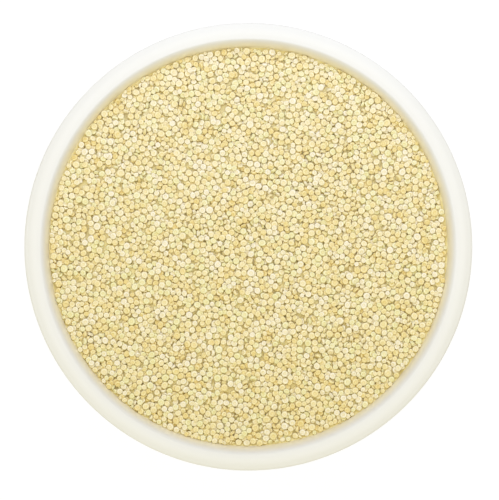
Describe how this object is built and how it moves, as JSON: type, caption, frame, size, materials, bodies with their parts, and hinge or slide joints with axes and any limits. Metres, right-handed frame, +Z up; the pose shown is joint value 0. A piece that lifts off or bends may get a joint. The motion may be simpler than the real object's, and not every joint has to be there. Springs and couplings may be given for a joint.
{
  "type": "bowl of quinoa",
  "caption": "Round white glazed bowl on a foot ring, filled to just under its rounded rim with dry white quinoa grain.",
  "frame": {"origin": "middle of the foot ring's underside, on the surface that the bowl stands on", "axes": "+Z up out of the bowl's mouth, along the axis the bowl is turned about; X and Y level, and the bowl is alike in every direction"},
  "size_m": [0.132, 0.132, 0.057],
  "materials": {
    "glaze": "gloss",
    "grain": "matte"
  },
  "bodies": {
    "root": {"bowl": "glaze", "quinoa": "grain"}
  },
  "joints": []
}
